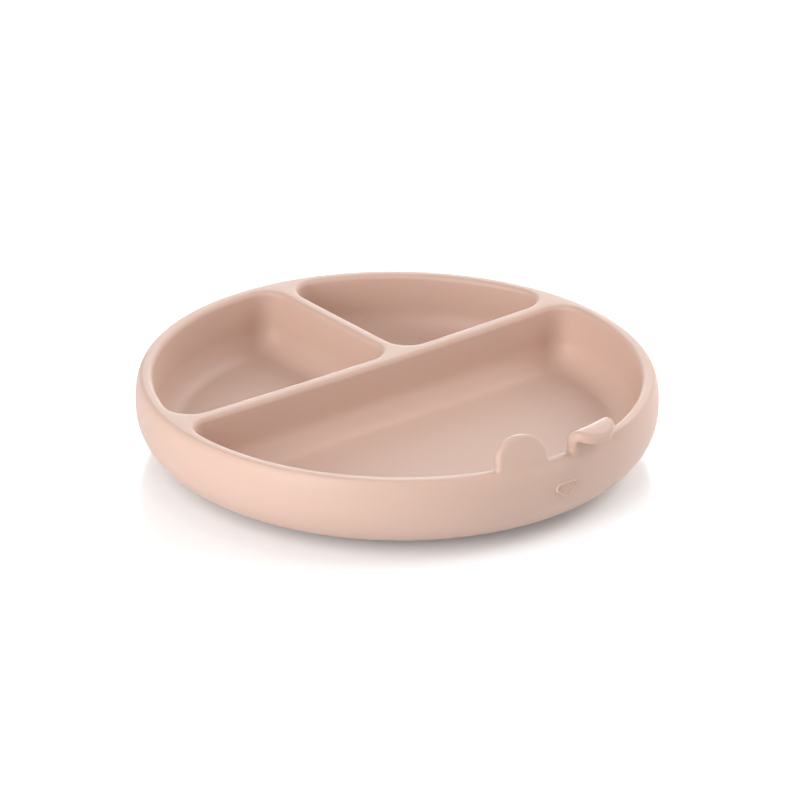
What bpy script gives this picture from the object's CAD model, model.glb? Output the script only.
"""Dresses the feeding plate: a dense, smooth skin over its one silicone moulding,
a white table and soft light. The functions that make the shape work in
millimetres, in the frame's own place, and Blender gets metres."""

import math

import bmesh
import bpy
import numpy as np
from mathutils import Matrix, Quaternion, Vector
from mathutils.geometry import delaunay_2d_cdt


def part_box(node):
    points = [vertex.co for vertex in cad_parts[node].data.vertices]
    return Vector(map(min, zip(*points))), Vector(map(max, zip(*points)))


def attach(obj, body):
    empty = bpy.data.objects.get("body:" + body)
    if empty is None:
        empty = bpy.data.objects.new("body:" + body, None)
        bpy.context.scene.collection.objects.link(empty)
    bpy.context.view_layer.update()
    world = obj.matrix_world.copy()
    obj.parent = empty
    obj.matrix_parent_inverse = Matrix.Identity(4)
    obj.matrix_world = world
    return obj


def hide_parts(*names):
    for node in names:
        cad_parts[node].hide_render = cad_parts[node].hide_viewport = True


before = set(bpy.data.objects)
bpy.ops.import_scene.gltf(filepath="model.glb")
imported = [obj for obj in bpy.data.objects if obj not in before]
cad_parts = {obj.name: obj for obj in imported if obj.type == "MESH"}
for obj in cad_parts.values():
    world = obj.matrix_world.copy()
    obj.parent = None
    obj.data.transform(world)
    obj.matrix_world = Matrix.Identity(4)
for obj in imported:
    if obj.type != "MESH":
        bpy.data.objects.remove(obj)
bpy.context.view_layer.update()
MM = 0.001

# Outer wall, with the width of the rim's flat top that belongs to it
PLATE_R = (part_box("plate")[1].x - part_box("plate")[0].x) / 2 / MM
RIM_H = 31
BULGE_H = 21.5
CROWN_W = 3
CROWN_POWER = 2.2
SEAM_INSET = 0.6
CURL_W = 33
CURL_POWER = 2.45

# Compartments, with their turn from the face in degrees
WALL_T = 6.5
FLOOR_H = 8.5
LONG_Y = 13.1
SHORT_X = 13.1
TURN = 0.5
DIVIDER_T = 5.7
DIP = 0.9
DRAFT = 4
CORNER_R = 9
CORNER_TAPER = 0.35
FILLET_R = 10
EDGE_R = 2

# Ears, with their angles from the middle of the face
STANDING = {"angle": -10.35, "length": 11.2, "lean": 19, "fold": 0}
FOLDED = {"angle": 8.85, "length": 13.4, "lean": 4, "fold": 114}
EAR_W = 20
EAR_T = 4.5
EAR_TIP_T = 4.2
EAR_EDGE_R = 1.9
EAR_SIDE_H = 3
EAR_POWER = 2.1
EAR_PROUD = 1.3
FOLD_H = 2.9
FOLD_R = 3
ROOT_H = 4
LEAN_EASE = 1.5

# Reach of the fillets at an ear's foot, on its outer face and elsewhere
FOOT_FACE = 2.4
FOOT_SIDE = 1.3

# Nose, with the bare wall kept beside it and above it in its patch
NOSE_W = 10
NOSE_H = 6
NOSE_R = 2
NOSE_Z = 19.6
NOSE_LINE = 1
NOSE_RELIEF = 0.7
NOSE_MARGIN = (1.4, 1.6)

# Suction base, with the runs of flat roof inside the lip and of flat base outside it,
# and the height above the base at which the wall's curl ends
LIP_R = 66
LIP_RUN = 8
LIP_T = 1
LIP_ROOT_T = 1.6
LIP_EDGE_R = 0.1
LIP_FOOT_R = 0.4
HOLLOW_H = 4.8
HOLLOW_R = 1.5
ROOF_LEAD = 6
BASE_GAP = 2.4
BASE_R = 4
BASE_LEAD = 2.5
CURL_END = 0.5
TAB_W = 14
TAB_RUN = 15
TAB_T = 1.2
TAB_EDGE_R = 0.4

# Fineness of the skin, with one column of the wall a degree. A lattice is the step
# between points on a flat part.
COLUMNS = 360
QUARTER_STEPS = 40
ROUND_STEPS = 6
EDGE_STEPS = 8
WALL_STEPS = 6
FILLET_STEPS = 12
CORNER_STEPS = 14
LEAD_STEPS = 8
STRAIGHT_STEPS = 40
SPINE_POINTS = 800
EAR_STEPS = 26
EAR_ROUND = 6
EAR_ACROSS = 18
FOOT_STEPS = 6
TAB_ROOT_STEPS = 12
LATTICE = 5
EAR_LATTICE = 1
NOSE_LATTICE = 0.12
NORMAL_STEP = 0.3

# Share of a lattice's step that its points keep clear of an outline
CLEARANCE = 0.6
# Points closer than this are welded, and shorter edges than the next are dissolved
WELD = 0.003
SLIVER = 0.0001
# Angle between two faces from which their edge is drawn sharp, in degrees
SHARP_ANGLE = 40

POCKET_R = PLATE_R - WALL_T
LAND_R = PLATE_R - CROWN_W
SEAM_R = LAND_R - SEAM_INSET
EAR_R = LAND_R + EAR_PROUD - EAR_T / 2

# Columns of the wall, by their angle: the middle of the face, the stretch of wall
# inside the front compartment, and the windows that the ears and the nose fill
FACE = 270
WALL_FROM, WALL_TO = 190, 350
EAR_WINDOW = (FACE - 22, FACE + 20)
NOSE_WINDOW = (FACE - 6, FACE + 6)
# Share of the crown's height at which the ears' window starts
EAR_WINDOW_FROM = 0.55

# Two tones of the silicone, in linear colour, and the range of its roughness
DEEP_TONE = (0.618, 0.428, 0.35, 1)
PALE_TONE = (0.638, 0.444, 0.364, 1)
SMOOTHER, ROUGHER = 0.38, 0.44

# The table's own white grows between two distances from the axis, in metres, from
# one strength to another
TABLE_TONE = (0.87, 0.9, 0.92, 1)
TABLE_REACH = 4
TABLE_FADE = (0.084, 0.108)
TABLE_LIFT = (0.11, 0.3)
ROOM_LIGHT = 0.13

# Square lamps that face the plate, in degrees, metres and watts. Azimuth 0 is in
# front of the face, and "skips" is the kind of ray that doesn't see the lamp.
LAMPS = [
    {"name": "left_low", "azimuth": -78, "elevation": 13, "distance": 1.2, "size": 0.7, "power": 8.8},
    {"name": "left_high", "azimuth": -85, "elevation": 42, "distance": 1.2, "size": 1.0, "power": 8.0},
    {"name": "right_low", "azimuth": 100, "elevation": 12, "distance": 1.2, "size": 0.9, "power": 10,
        "skips": "glossy"},
    {"name": "right_high", "azimuth": 60, "elevation": 42, "distance": 1.2, "size": 0.6, "power": 5.5,
        "skips": "glossy"},
    {"name": "front", "azimuth": 40, "elevation": 12, "distance": 1.2, "size": 0.6, "power": 2.6},
    {"name": "back", "azimuth": 141, "elevation": 25, "distance": 1.2, "size": 0.9, "power": 3.9,
        "skips": "diffuse"},
    {"name": "back_low", "azimuth": 143, "elevation": 6, "distance": 1.1, "size": 0.4, "power": 1.8},
    {"name": "back_high", "azimuth": 115, "elevation": 48, "distance": 1.1, "size": 0.5, "power": 3,
        "skips": "diffuse"},
]

# The camera as fitted to the photograph, in degrees, metres, millimetres and pixels
VIEW_AZIMUTH = -38.9
VIEW_ELEVATION = 24.66
VIEW_ROLL = 0.533
VIEW_DISTANCE = 1.779
VIEW_TARGET_Z = 0.015
VIEW_REACH = 20
LENS = 220
SENSOR_W = 36
IMAGE_SIZE = 800
TARGET_PIXEL = (397.08, 410.91)


def top_z(r):
    """Height of the plate's top surface at a distance from its axis."""
    return RIM_H - DIP * (1 - np.minimum(r / POCKET_R, 1) ** 2)


def arc(centre, radius, start, end, steps):
    """Points on an arc between two angles in degrees, both ends included."""
    a = np.radians(np.linspace(start, end, steps + 1))
    return np.column_stack([centre[0] + radius * np.cos(a), centre[1] + radius * np.sin(a)])


def between(start, end, steps):
    """Evenly spaced points between two others, without them."""
    share = np.arange(1, steps)[:, None] / steps
    return np.array(start) + share * (np.array(end) - np.array(start))


def quarter(centre, reach, power, steps):
    """Quarter of a superellipse round a centre, from its side to its top or bottom."""
    a = np.linspace(0, math.pi / 2, steps + 1)
    across = np.cos(a).clip(0) ** (2 / power)
    up = np.sin(a) ** (2 / power)
    return np.column_stack([centre[0] + reach[0] * across, centre[1] + reach[1] * up])


def rounded(corners, steps=ROUND_STEPS):
    """A line through corners of (r, z, radius), each inner one rounded with an arc."""
    line = [corners[0][:2]]
    for before, corner, after in zip(corners, corners[1:], corners[2:]):
        here = np.array(corner[:2], float)
        back = np.array(before[:2]) - here
        on = np.array(after[:2]) - here
        back /= np.linalg.norm(back)
        on /= np.linalg.norm(on)
        half = math.acos(np.clip(back @ on, -1, 1)) / 2
        middle = here + (back + on) / np.linalg.norm(back + on) * corner[2] / math.sin(half)
        first = here + back * corner[2] / math.tan(half) - middle
        last = here + on * corner[2] / math.tan(half) - middle
        start = math.degrees(math.atan2(first[1], first[0]))
        turn = math.degrees(math.atan2(last[1], last[0])) - start
        turn = (turn + 180) % 360 - 180
        line += arc(middle, corner[2], start, start + turn, steps).tolist()
    return np.array(line + [corners[-1][:2]], float)


def inside(outline, points):
    """Whether each point lies inside a closed outline."""
    x, y = points[:, 0], points[:, 1]
    result = np.zeros(len(points), bool)
    for a, b in zip(outline, np.roll(outline, -1, axis=0)):
        if a[1] != b[1]:
            crossing = a[0] + (y - a[1]) * (b[0] - a[0]) / (b[1] - a[1])
            result ^= ((a[1] > y) != (b[1] > y)) & (x < crossing)
    return result


def distance(points, outline):
    """Distance from each point to the nearest place on a closed outline."""
    nearest = np.full(len(points), np.inf)
    for a, b in zip(outline, np.roll(outline, -1, axis=0)):
        share = np.clip((points - a) @ (b - a) / ((b - a) @ (b - a)), 0, 1)
        nearest = np.minimum(nearest, np.linalg.norm(points - a - share[:, None] * (b - a), axis=1))
    return nearest


def lattice(outer, holes, step):
    """Points spaced evenly inside an outline, outside holes and clear of both."""
    low, high = outer.min(0), outer.max(0)
    rows = []
    for k, y in enumerate(np.arange(low[1], high[1], step * math.sqrt(3) / 2)):
        x = np.arange(low[0] + (k % 2) * step / 2, high[0], step)
        rows.append(np.column_stack([x, np.full_like(x, y)]))
    points = np.vstack(rows)
    keep = inside(outer, points) & (distance(points, outer) > step * CLEARANCE)
    for hole in holes:
        keep &= ~inside(hole, points)
        keep[keep] = distance(points[keep], hole) > step * CLEARANCE
    return points[keep]


def triangles(loops, extra_edges, scattered):
    """Delaunay triangles over closed loops, straight edges and points between them,
    as all the flat points and rows of three indices into them."""
    edges = []
    start = 0
    for loop in loops:
        count = len(loop)
        edges += [(start + i, start + (i + 1) % count) for i in range(count)]
        start += count
    points = np.vstack([*loops, scattered])
    flat = [Vector(p) for p in points]
    found = delaunay_2d_cdt(flat, edges + extra_edges, [], 0, 1e-6)
    source = [ids[0] for ids in found[3]]
    return points, np.array([[source[i] for i in face] for face in found[2]])


class Skin:
    """Points and faces that are gathered piece by piece and welded at the end."""

    def __init__(self):
        self.points = []
        self.faces = []
        self.count = 0

    def add(self, points, faces):
        """Adds points, and faces as rows of indices into them."""
        self.points.append(np.asarray(points, float))
        self.faces += [[self.count + int(i) for i in face] for face in faces]
        self.count += len(points)

    def grid(self, rows, skip=None, closed=True):
        """Adds quads between rows of equally many points, but where skip(row, column) is true."""
        rows = np.asarray(rows, float)
        count, columns = rows.shape[:2]
        faces = []
        for k in range(count - 1):
            for i in range(columns if closed else columns - 1):
                if skip and skip(k, i):
                    continue
                a, b = k * columns, (i + 1) % columns
                faces.append([a + i, a + b, a + columns + b, a + columns + i])
        self.add(rows.reshape(-1, 3), faces)

    def mesh(self, name):
        """One welded mesh of it all, smooth but for its sharp edges."""
        data = bpy.data.meshes.new(name)
        data.from_pydata(np.vstack(self.points) * MM, [], self.faces)
        bm = bmesh.new()
        bm.from_mesh(data)
        bmesh.ops.remove_doubles(bm, verts=bm.verts, dist=WELD * MM)
        bmesh.ops.dissolve_degenerate(bm, edges=bm.edges, dist=SLIVER * MM)
        bmesh.ops.recalc_face_normals(bm, faces=bm.faces)
        bm.to_mesh(data)
        bm.free()
        data.shade_smooth()
        data.set_sharp_from_angle(angle=math.radians(SHARP_ANGLE))
        return data


def revolved(line):
    """Rows of points that turn each (r, z) of a line round the axis."""
    a = np.radians(np.arange(COLUMNS) * 360 / COLUMNS)
    rows = [np.column_stack([r * np.cos(a), r * np.sin(a), np.full(COLUMNS, z)]) for r, z in line]
    return np.array(rows)


def turned(points, angle):
    """Points turned anticlockwise round the axis by an angle in degrees."""
    c, s = math.cos(math.radians(angle)), math.sin(math.radians(angle))
    x, y, z = np.moveaxis(np.asarray(points), -1, 0)
    return np.stack([c * x - s * y, s * x + c * y, z], axis=-1)


def outer_line():
    """Half section of the plate, from the roof of the suction hollow to the rim's flat top."""
    curl = quarter([PLATE_R - CURL_W, BULGE_H], [CURL_W, -BULGE_H], CURL_POWER, QUARTER_STEPS)[::-1]
    curl = curl[curl[:, 1] > BASE_GAP + CURL_END]
    base_x = curl[0][0] - BASE_LEAD
    slope = math.atan2(HOLLOW_H, LIP_RUN - LIP_T)
    root_x = LIP_R - LIP_T - (LIP_RUN - LIP_T) * BASE_GAP / HOLLOW_H + LIP_ROOT_T / math.sin(slope)
    base = rounded([
        (LIP_R - LIP_RUN - ROOF_LEAD, HOLLOW_H, 0),
        (LIP_R - LIP_RUN, HOLLOW_H, HOLLOW_R),
        (LIP_R - LIP_T, 0, LIP_EDGE_R),
        (LIP_R, 0, LIP_EDGE_R),
        (LIP_R, LIP_T / 2, LIP_EDGE_R),
        (root_x, BASE_GAP, LIP_FOOT_R),
        (base_x, BASE_GAP, BASE_R),
        (*curl[0], 0),
    ])
    crown = quarter([LAND_R, BULGE_H], [CROWN_W, RIM_H - BULGE_H], CROWN_POWER, QUARTER_STEPS)
    return np.vstack([base, curl[1:], crown[1:], [[SEAM_R, RIM_H]]])


def corner_at(inset):
    """Radius of a compartment's corners, a distance inside its wall line."""
    return CORNER_R - inset * (1 if inset < 0 else CORNER_TAPER)


def front_outline(inset):
    """Outline of the front compartment, a distance inside its wall line. Once it is turned,
    its wall has a point at every whole degree between the two WALL angles."""
    r = corner_at(inset)
    reach = POCKET_R - inset - r
    y = LONG_Y - DIVIDER_T / 2 - inset - r
    x = math.sqrt(reach ** 2 - y ** 2)
    tilt = math.degrees(math.atan2(y, x))
    turns = np.radians(np.concatenate([
        np.linspace(180 - tilt, WALL_FROM - TURN, LEAD_STEPS + 1)[1:],
        np.arange(WALL_FROM + 1, WALL_TO) - TURN,
        np.linspace(WALL_TO - TURN, 360 + tilt, LEAD_STEPS + 1)[:-1],
    ]))
    wall = (POCKET_R - inset) * np.column_stack([np.cos(turns), np.sin(turns)])
    return np.vstack([
        arc([-x, y], r, 90, 180 - tilt, CORNER_STEPS),
        wall,
        arc([x, y], r, tilt, 90, CORNER_STEPS),
        between([x, y + r], [-x, y + r], 3 * STRAIGHT_STEPS),
    ])


def rear_outline(inset, divider_x):
    """Outline of a rear compartment that has the short divider on its right side."""
    r = corner_at(inset)
    reach = POCKET_R - inset - r
    x = divider_x - DIVIDER_T / 2 - inset - r
    y = LONG_Y + DIVIDER_T / 2 + inset + r
    far_y = math.sqrt(reach ** 2 - x ** 2)
    far_x = -math.sqrt(reach ** 2 - y ** 2)
    right = math.degrees(math.atan2(far_y, x))
    left = math.degrees(math.atan2(y, far_x))
    return np.vstack([
        arc([x, far_y], r, 0, right, CORNER_STEPS),
        arc([0, 0], POCKET_R - inset, right, left, 2 * STRAIGHT_STEPS)[1:-1],
        arc([far_x, y], r, left, 270, CORNER_STEPS),
        between([far_x, y - r], [x, y - r], STRAIGHT_STEPS),
        arc([x, y], r, 270, 360, CORNER_STEPS),
        between([x + r, y], [x + r, far_y], STRAIGHT_STEPS),
    ])


def left_outline(inset):
    """Outline of the rear compartment on the left, seen from the front."""
    return rear_outline(inset, SHORT_X)


def right_outline(inset):
    """Outline of the rear compartment on the right, as a mirrored one on the left."""
    return rear_outline(inset, -SHORT_X)[::-1] * [-1, 1]


def pocket_levels():
    """Inset, height and share of the dip of each level, from the rim down to the floor."""
    lean = math.radians(DRAFT)
    wall_top = RIM_H - EDGE_R * (1 - math.sin(lean))
    wall_foot = FLOOR_H + FILLET_R * (1 - math.sin(lean))
    middle = [FILLET_R * math.cos(lean) + (wall_top - wall_foot) * math.tan(lean), FLOOR_H + FILLET_R]
    edge = arc([-EDGE_R * math.cos(lean), RIM_H - EDGE_R], EDGE_R, 90, DRAFT, EDGE_STEPS)
    fillet = arc(middle, FILLET_R, 180 + DRAFT, 270, FILLET_STEPS)
    wall = between(edge[-1], fillet[0], WALL_STEPS)
    line = np.vstack([edge, wall, fillet])
    dip = np.interp(line[:, 1], [wall_foot, wall_top], [0, 1])
    return np.column_stack([line, dip])


def pocket_rows(outline):
    """Rows of points down a compartment's rounded edge, wall and fillet, before its turn."""
    rows = []
    for inset, height, dip in pocket_levels():
        flat = outline(inset)
        z = height - dip * (RIM_H - top_z(np.hypot(flat[:, 0], flat[:, 1])))
        rows.append(np.column_stack([flat, z]))
    return np.array(rows)


def add_floor(skin, ring, turn=0):
    """Fills a closed flat ring with even triangles and turns it round the axis."""
    flat = ring[:, :2]
    points, faces = triangles([flat], [], lattice(flat, [], LATTICE))
    faces = faces[inside(flat, points[faces].mean(1))]
    skin.add(turned(np.column_stack([points, np.full(len(points), ring[0][2])]), turn), faces)


def add_land(skin, rims):
    """Fills the plate's top between its outer edge and the compartments' rims. It is
    worked out before the compartments' turn, which keeps their sides straight."""
    circle = turned(revolved([(SEAM_R, RIM_H)])[0], -TURN)[:, :2]
    rims = [rim[:, :2] for rim in rims]
    sides = []
    for column in EAR_WINDOW:
        way = [math.cos(math.radians(column - TURN)), math.sin(math.radians(column - TURN))]
        sides.append((column, len(circle) + int(np.argmax(rims[0] @ way))))
    points, faces = triangles([circle, *rims], sides, lattice(circle, rims, LATTICE / 2))
    middle = points[faces].mean(1)
    keep = inside(circle, middle)
    for rim in rims:
        keep &= ~inside(rim, middle)
    turn = np.degrees(np.arctan2(middle[:, 1], middle[:, 0])) % 360 + TURN
    between_ears = (turn > EAR_WINDOW[0]) & (turn < EAR_WINDOW[1])
    keep &= ~(between_ears & (np.hypot(middle[:, 0], middle[:, 1]) > POCKET_R))
    top = top_z(np.hypot(points[:, 0], points[:, 1]))
    skin.add(turned(np.column_stack([points, top]), TURN), faces[keep])


class Wall:
    """Part of the wall as a flat map: u runs along it from the middle of the face and
    t up the outside of its section and down its inside."""

    def __init__(self, line):
        self.line = np.asarray(line, float)
        steps = np.linalg.norm(np.diff(self.line, axis=0), axis=1)
        self.t = np.concatenate([[0], np.cumsum(steps)])

    def at(self, flat):
        """Points of the wall at rows of (u, t)."""
        r = np.interp(flat[:, 1], self.t, self.line[:, 0])
        z = np.interp(flat[:, 1], self.t, self.line[:, 1])
        a = math.radians(FACE) + flat[:, 0] / EAR_R
        return np.column_stack([r * np.cos(a), r * np.sin(a), z])

    def normal(self, flat):
        """Outward directions of the wall at rows of (u, t)."""
        step = np.array([0, NORMAL_STEP])
        rise = self.at(flat + step) - self.at(flat - step)
        a = math.radians(FACE) + flat[:, 0] / EAR_R
        along = np.column_stack([-np.sin(a), np.cos(a), np.zeros(len(a))])
        out = np.cross(along, rise)
        return out / np.linalg.norm(out, axis=1)[:, None]

    def border(self, columns):
        """The map's outline between two columns of the skin, point by point."""
        u = np.radians(np.arange(columns[0], columns[1] + 1) - FACE) * EAR_R
        bottom = np.column_stack([u, np.full_like(u, self.t[0])])
        top = np.column_stack([u, np.full_like(u, self.t[-1])])[::-1]
        right = np.column_stack([np.full_like(self.t, u[-1]), self.t])[1:-1]
        left = np.column_stack([np.full_like(self.t, u[0]), self.t])[-2:0:-1]
        return np.vstack([bottom, right, top, left])

    def fill(self, skin, columns, holes, step):
        """Fills the map between two columns, but leaves the holes open."""
        border = self.border(columns)
        points, faces = triangles([border, *holes], [], lattice(border, holes, step))
        middle = points[faces].mean(1)
        keep = inside(border, middle)
        for hole in holes:
            keep &= ~inside(hole, middle)
        skin.add(self.at(points), faces[keep])


def ear_spine(ear):
    """Lengths along an ear's middle, and its places outward and up and its angle there."""
    s = np.linspace(-ROOT_H, ear["length"], SPINE_POINTS)
    ease = np.clip((s + LEAN_EASE) / (2 * LEAN_EASE), 0, 1)
    lean = ear["lean"] * ease ** 2 * (3 - 2 * ease)
    bend = max(FOLD_R * math.radians(ear["fold"]), 1e-6)
    fold = ear["fold"] * np.clip((s - FOLD_H) / bend, 0, 1)
    angle = np.radians(fold - lean)
    out = np.cumsum(np.sin(angle)) * (s[1] - s[0])
    up = np.cumsum(np.cos(angle)) * (s[1] - s[0])
    return s, out - np.interp(0, s, out), up - np.interp(0, s, up), angle


def on_ear(ear, places):
    """Points of an ear at rows of width, length along it and depth outward."""
    s, out, up, angle = ear["spine"]
    u, length = places[:, 0], places[:, 1]
    depth = places[:, 2] * (1 - (1 - EAR_TIP_T / EAR_T) * np.maximum(length, 0) / ear["length"])
    turn = np.interp(length, s, angle)
    r = EAR_R + np.interp(length, s, out) + depth * np.cos(turn)
    z = RIM_H + np.interp(length, s, up) - depth * np.sin(turn)
    a = math.radians(FACE + ear["angle"]) + u / EAR_R
    return np.column_stack([r * np.cos(a), r * np.sin(a), z])


def ear_loop(ear, turn):
    """One loop round an ear, as rows of width, length and depth. turn runs from 0 at the
    top of its straight sides to 90 degrees at its tip."""
    flat = EAR_T / 2 - EAR_EDGE_R
    a = np.radians(np.linspace(-90, 90, 2 * EAR_ROUND + 2))
    depth = np.sign(a) * flat + EAR_EDGE_R * np.sin(a)
    inset = EAR_EDGE_R * (1 - np.cos(a))
    across = max(math.cos(math.radians(turn)), 0) ** (2 / EAR_POWER)
    up = math.sin(math.radians(turn)) ** (2 / EAR_POWER)
    width = (EAR_W / 2 - inset) * across
    length = EAR_SIDE_H + (ear["length"] - EAR_SIDE_H - inset) * up
    left = np.column_stack([-width, length, depth])
    right = np.column_stack([width, length, depth])[::-1]
    return np.vstack([
        left,
        between(left[-1], right[0], EAR_ACROSS),
        right,
        between(right[-1], left[0], EAR_ACROSS),
    ])


def add_ear(skin, wall, ear):
    """Adds an ear that flows out of the wall in a fillet, and returns the foot of the
    fillet on the wall's map."""
    ear["spine"] = ear_spine(ear)
    sides = ear_loop(ear, 0)
    t = np.interp(-(EAR_R + sides[:, 2]), -wall.line[:, 0], wall.t)
    z = np.interp(t, wall.t, wall.line[:, 1])
    flat = np.column_stack([sides[:, 0] + math.radians(ear["angle"]) * EAR_R, t])
    way = np.roll(flat, -1, axis=0) - np.roll(flat, 1, axis=0)
    out = np.column_stack([way[:, 1], -way[:, 0]]) / np.linalg.norm(way, axis=1)[:, None]
    if (out * (flat - flat.mean(0))).sum() < 0:
        out = -out
    reach = FOOT_SIDE + (FOOT_FACE - FOOT_SIDE) * np.maximum(-out[:, 1], 0)
    foot = flat + out * reach[:, None]
    start = sides.copy()
    start[:, 1] = z - RIM_H + reach
    top, corner, base = on_ear(ear, start), wall.at(flat), wall.at(foot)
    rows = []
    for k in range(FOOT_STEPS + 1):
        q = k / FOOT_STEPS
        rows.append((1 - q) ** 2 * base + 2 * q * (1 - q) * corner + q ** 2 * top)
    for k in range(1, FOOT_STEPS):
        rows.append(on_ear(ear, start + (sides - start) * k / FOOT_STEPS))
    for k in range(EAR_STEPS + 1):
        rows.append(on_ear(ear, ear_loop(ear, 90 * k / EAR_STEPS)))
    skin.grid(rows)
    return foot


def nose_outline():
    """The line that the nose is drawn along, on a flat view of the face."""
    x, z = NOSE_W / 2 - NOSE_R, NOSE_H / 2 - NOSE_R
    lean = math.degrees(math.atan2(x, 2 * z))
    r = NOSE_R - NOSE_LINE / 2
    return np.vstack([
        arc([x, z], r, -lean, 90, CORNER_STEPS),
        arc([-x, z], r, 90, 180 + lean, CORNER_STEPS),
        arc([0, -z], r, 180 + lean, 360 - lean, CORNER_STEPS),
    ])


def add_nose(skin, wall):
    """Adds the patch of wall that carries the raised outline of the nose, and returns
    the patch's border on the wall's map."""
    middle_t = np.interp(NOSE_Z, wall.line[:, 1], wall.t)
    half_u, half_t = NOSE_W / 2 + NOSE_MARGIN[0], NOSE_H / 2 + NOSE_MARGIN[1]
    u = np.linspace(-half_u, half_u, round(2 * half_u / NOSE_LATTICE) + 1)
    t = middle_t + np.linspace(-half_t, half_t, round(2 * half_t / NOSE_LATTICE) + 1)
    flat = np.array([[[a, b] for a in u] for b in t])
    points = flat.reshape(-1, 2)
    place = wall.at(points)
    gap = distance(np.column_stack([place[:, 0], place[:, 2] - NOSE_Z]), nose_outline())
    lift = NOSE_RELIEF * np.cos(math.pi / 2 * np.minimum(gap / (NOSE_LINE / 2), 1)) ** 2
    raised = place + wall.normal(points) * lift[:, None]
    skin.grid(raised.reshape(flat.shape[0], flat.shape[1], 3), closed=False)
    return np.vstack([flat[0], flat[1:-1, -1], flat[-1][::-1], flat[1:-1, 0][::-1]])


def plate_mesh():
    """The whole moulding but its tab, as one closed skin."""
    skin = Skin()
    line = outer_line()
    outlines = (front_outline, left_outline, right_outline)
    pockets = [pocket_rows(outline) for outline in outlines]
    ear_row = np.flatnonzero(line[:, 1] > BULGE_H + (RIM_H - BULGE_H) * EAR_WINDOW_FROM)[0]
    outside = line[:, 0] > LIP_R
    nose_rows = [np.flatnonzero(outside & (line[:, 1] > NOSE_Z + side))[0] for side in (-NOSE_H, NOSE_H)]

    def open_outside(k, i):
        """Whether a quad of the outer wall makes room for the ears or the nose."""
        for_ears = k >= ear_row and EAR_WINDOW[0] <= i < EAR_WINDOW[1]
        for_nose = nose_rows[0] <= k < nose_rows[1] and NOSE_WINDOW[0] <= i < NOSE_WINDOW[1]
        return for_ears or for_nose

    first = CORNER_STEPS + LEAD_STEPS - WALL_FROM
    depth = EDGE_STEPS + 2

    def open_inside(k, i):
        """Whether a quad of the front compartment makes room for the ears."""
        return k < depth and EAR_WINDOW[0] <= i - first < EAR_WINDOW[1]

    skin.grid(revolved(line), open_outside)
    add_floor(skin, revolved(line[:1])[0])
    for k, rows in enumerate(pockets):
        skin.grid(turned(rows, TURN), open_inside if k == 0 else None)
        add_floor(skin, rows[-1], TURN)
    add_land(skin, [rows[0] for rows in pockets])

    inner = pockets[0][:depth + 1, first + FACE]
    inner_line = np.column_stack([np.hypot(inner[:, 0], inner[:, 1]), inner[:, 2]])
    rim = Wall(np.vstack([line[ear_row:], inner_line]))
    feet = [add_ear(skin, rim, ear) for ear in (STANDING, FOLDED)]
    rim.fill(skin, EAR_WINDOW, feet, EAR_LATTICE)
    face = Wall(line[nose_rows[0]:nose_rows[1] + 1])
    face.fill(skin, NOSE_WINDOW, [add_nose(skin, face)], EAR_LATTICE)
    return skin.mesh("silicone_plate")


def tab_mesh():
    """The release tab, as a closed skin with its root in the lip."""
    skin = Skin()
    edge = arc([TAB_EDGE_R, TAB_EDGE_R], TAB_EDGE_R, 270, 180, EDGE_STEPS)
    levels = np.vstack([edge, edge[::-1] * [1, -1] + [0, TAB_T]])
    rows = []
    for inset, z in levels:
        half = TAB_W / 2 - inset
        root_y = LIP_R - LIP_T + inset
        end = arc([0, LIP_R + TAB_RUN - TAB_W / 2], half, 0, 180, 3 * CORNER_STEPS)
        root = between([-half, root_y], [half, root_y], TAB_ROOT_STEPS)
        flat = np.vstack([end, [[-half, root_y]], root, [[half, root_y]]])
        rows.append(np.column_stack([flat, np.full(len(flat), z)]))
    skin.grid(rows)
    add_floor(skin, rows[0])
    add_floor(skin, rows[-1])
    return skin.mesh("release_tab")


class Nodes:
    """A node tree that is built with short calls."""

    def __init__(self, tree):
        self.tree = tree
        tree.nodes.clear()

    def add(self, kind, **sockets):
        """Adds a node. Each word names a socket, with _ for a space, or is i and the
        socket's number, and takes a value or another node's output. set_ before a word
        makes it one of the node's own settings."""
        node = self.tree.nodes.new("ShaderNode" + kind)
        for name, value in sockets.items():
            if name.startswith("set_"):
                setattr(node, name[4:], value)
                continue
            key = int(name[1:]) if name[1:].isdigit() else name.replace("_", " ")
            socket = node.inputs[key]
            if isinstance(value, bpy.types.NodeSocket):
                self.tree.links.new(value, socket)
            else:
                socket.default_value = value
        return node

    def seen(self):
        """1 where the camera sees a surface itself, mirrored or through something, and 0
        where it only lights other things."""
        ray = self.add("LightPath").outputs
        seen = self.add("Math", set_operation="MAXIMUM", i0=ray["Is Camera Ray"], i1=ray["Is Glossy Ray"])
        return self.add("Math", set_operation="MAXIMUM", i0=seen.outputs[0],
            i1=ray["Is Transmission Ray"]).outputs[0]


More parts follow.
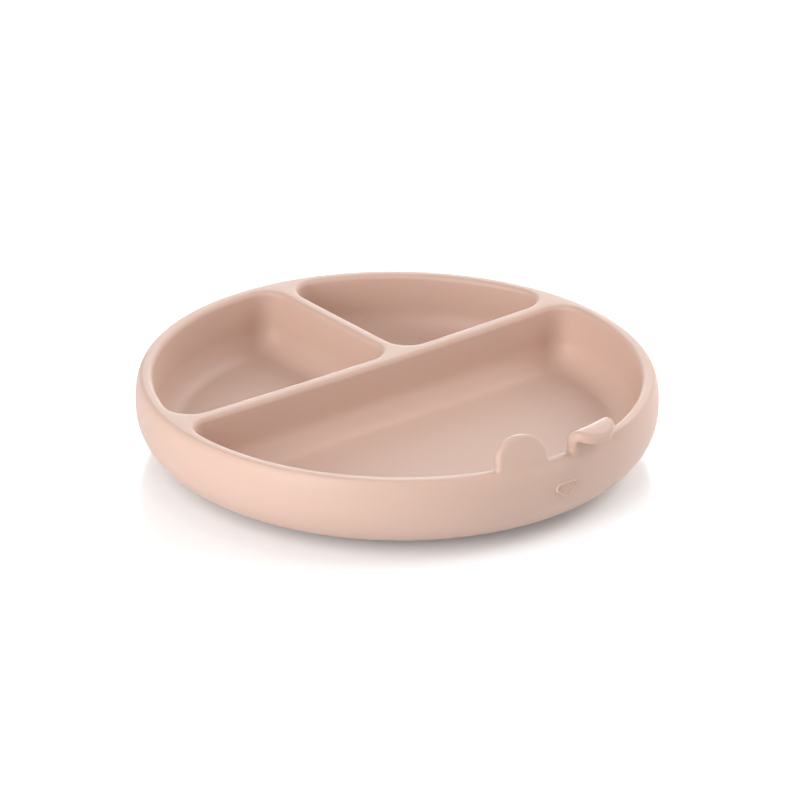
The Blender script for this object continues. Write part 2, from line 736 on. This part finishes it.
def silicone():
    """Soft matte silicone: a slight unevenness of tone, a fine grain and a faint bloom."""
    material = bpy.data.materials.new("matt_silicone")
    material.use_nodes = True
    n = Nodes(material.node_tree)
    place = n.add("TexCoord").outputs["Object"]
    tone = n.add("TexNoise", Vector=place, Scale=22, Detail=3, Roughness=0.5)
    colour = n.add("Mix", set_data_type="RGBA", Factor=tone.outputs["Fac"], i6=DEEP_TONE, i7=PALE_TONE)
    haze = n.add("TexNoise", Vector=place, Scale=60, Detail=2, Roughness=0.5)
    rough = n.add("MapRange", Value=haze.outputs["Fac"], From_Min=0.3, From_Max=0.7,
        To_Min=SMOOTHER, To_Max=ROUGHER)
    grain = n.add("TexNoise", Vector=place, Scale=2600, Detail=2, Roughness=0.6)
    bump = n.add("Bump", Height=grain.outputs["Fac"], Strength=0.12, Distance=0.00006)
    shader = n.add("BsdfPrincipled", Base_Color=colour.outputs[2], Roughness=rough.outputs[0],
        Normal=bump.outputs["Normal"], IOR=1.41, Specular_IOR_Level=0.42,
        Subsurface_Weight=0.15, Subsurface_Scale=0.0015, Subsurface_Radius=(1.0, 0.5, 0.35),
        Sheen_Weight=0.04, Sheen_Roughness=0.5)
    n.add("OutputMaterial", Surface=shader.outputs[0])
    return material


def table_white():
    """A white glossy table that stays white in the picture and keeps the shadow. Near
    the plate its own white gives way to what it mirrors."""
    material = bpy.data.materials.new("table")
    material.use_nodes = True
    n = Nodes(material.node_tree)
    place = n.add("TexCoord").outputs["Object"]
    reach = n.add("VectorMath", set_operation="LENGTH", i0=place)
    white = n.add("MapRange", set_interpolation_type="SMOOTHSTEP", Value=reach.outputs["Value"],
        From_Min=TABLE_FADE[0], From_Max=TABLE_FADE[1], To_Min=TABLE_LIFT[0], To_Max=TABLE_LIFT[1])
    lift = n.add("Math", set_operation="MULTIPLY", i0=n.seen(), i1=white.outputs[0])
    shader = n.add("BsdfPrincipled", Base_Color=TABLE_TONE, Roughness=0.18, IOR=1.8,
        Emission_Color=(1, 1, 1, 1), Emission_Strength=lift.outputs[0])
    n.add("OutputMaterial", Surface=shader.outputs[0])
    return material


def white_world():
    """A white room that lights softly, and shows pure white where it is seen."""
    world = bpy.data.worlds.new("room")
    world.use_nodes = True
    bpy.context.scene.world = world
    n = Nodes(world.node_tree)
    strength = n.add("MapRange", Value=n.seen(), To_Min=ROOM_LIGHT, To_Max=1)
    room = n.add("Background", Color=(1, 1, 1, 1), Strength=strength.outputs[0])
    n.add("OutputWorld", Surface=room.outputs[0])


def add_item(name, data):
    """Puts a mesh, lamp or camera into the scene."""
    item = bpy.data.objects.new(name, data)
    bpy.context.scene.collection.objects.link(item)
    return item


def stand(item, azimuth, elevation, distance, target_z=0, roll=0):
    """Stands a lamp or camera off, looking at a height on the axis."""
    a, e = math.radians(azimuth), math.radians(elevation)
    back = Vector((math.sin(a) * math.cos(e), -math.cos(a) * math.cos(e), math.sin(e)))
    item.location = Vector((0, 0, target_z)) + back * distance
    item.rotation_mode = "QUATERNION"
    item.rotation_quaternion = (-back).to_track_quat("-Z", "Y") @ Quaternion((0, 0, 1), math.radians(roll))


def add_lamp(row):
    """One of the square lamps, which the camera doesn't see."""
    data = bpy.data.lights.new(row["name"], "AREA")
    data.size = row["size"]
    data.energy = row["power"]
    lamp = add_item(row["name"], data)
    stand(lamp, row["azimuth"], row["elevation"], row["distance"])
    lamp.visible_camera = False
    lamp.visible_glossy = row.get("skips") != "glossy"
    lamp.visible_diffuse = row.get("skips") != "diffuse"


def add_camera():
    """The camera at the photograph's viewing angle, framed as the photograph is."""
    data = bpy.data.cameras.new("camera")
    data.lens = LENS
    data.sensor_width = SENSOR_W
    data.shift_x = (IMAGE_SIZE / 2 - TARGET_PIXEL[0]) / IMAGE_SIZE
    data.shift_y = (TARGET_PIXEL[1] - IMAGE_SIZE / 2) / IMAGE_SIZE
    data.clip_end = VIEW_REACH
    camera = add_item("camera", data)
    stand(camera, VIEW_AZIMUTH, VIEW_ELEVATION, VIEW_DISTANCE, VIEW_TARGET_Z, VIEW_ROLL)
    bpy.context.scene.camera = camera


def add_table():
    """The white table top, which isn't part of the plate."""
    data = bpy.data.meshes.new("table")
    corners = [(x * TABLE_REACH, y * TABLE_REACH, 0) for x, y in ((-1, -1), (1, -1), (1, 1), (-1, 1))]
    data.from_pydata(corners, [], [(0, 1, 2, 3)])
    data.materials.append(table_white())
    add_item("table", data)


def add_plate():
    """The plate's skin and its tab, in silicone, riding on the plate's body."""
    finish = silicone()
    skin = add_item("silicone_plate", plate_mesh())
    tab = add_item("release_tab", tab_mesh())
    for piece in (skin, tab):
        piece.data.materials.append(finish)
        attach(piece, "root")
    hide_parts("plate")


bpy.context.scene.view_settings.view_transform = "Standard"
add_camera()
add_table()
white_world()
for row in LAMPS:
    add_lamp(row)
add_plate()
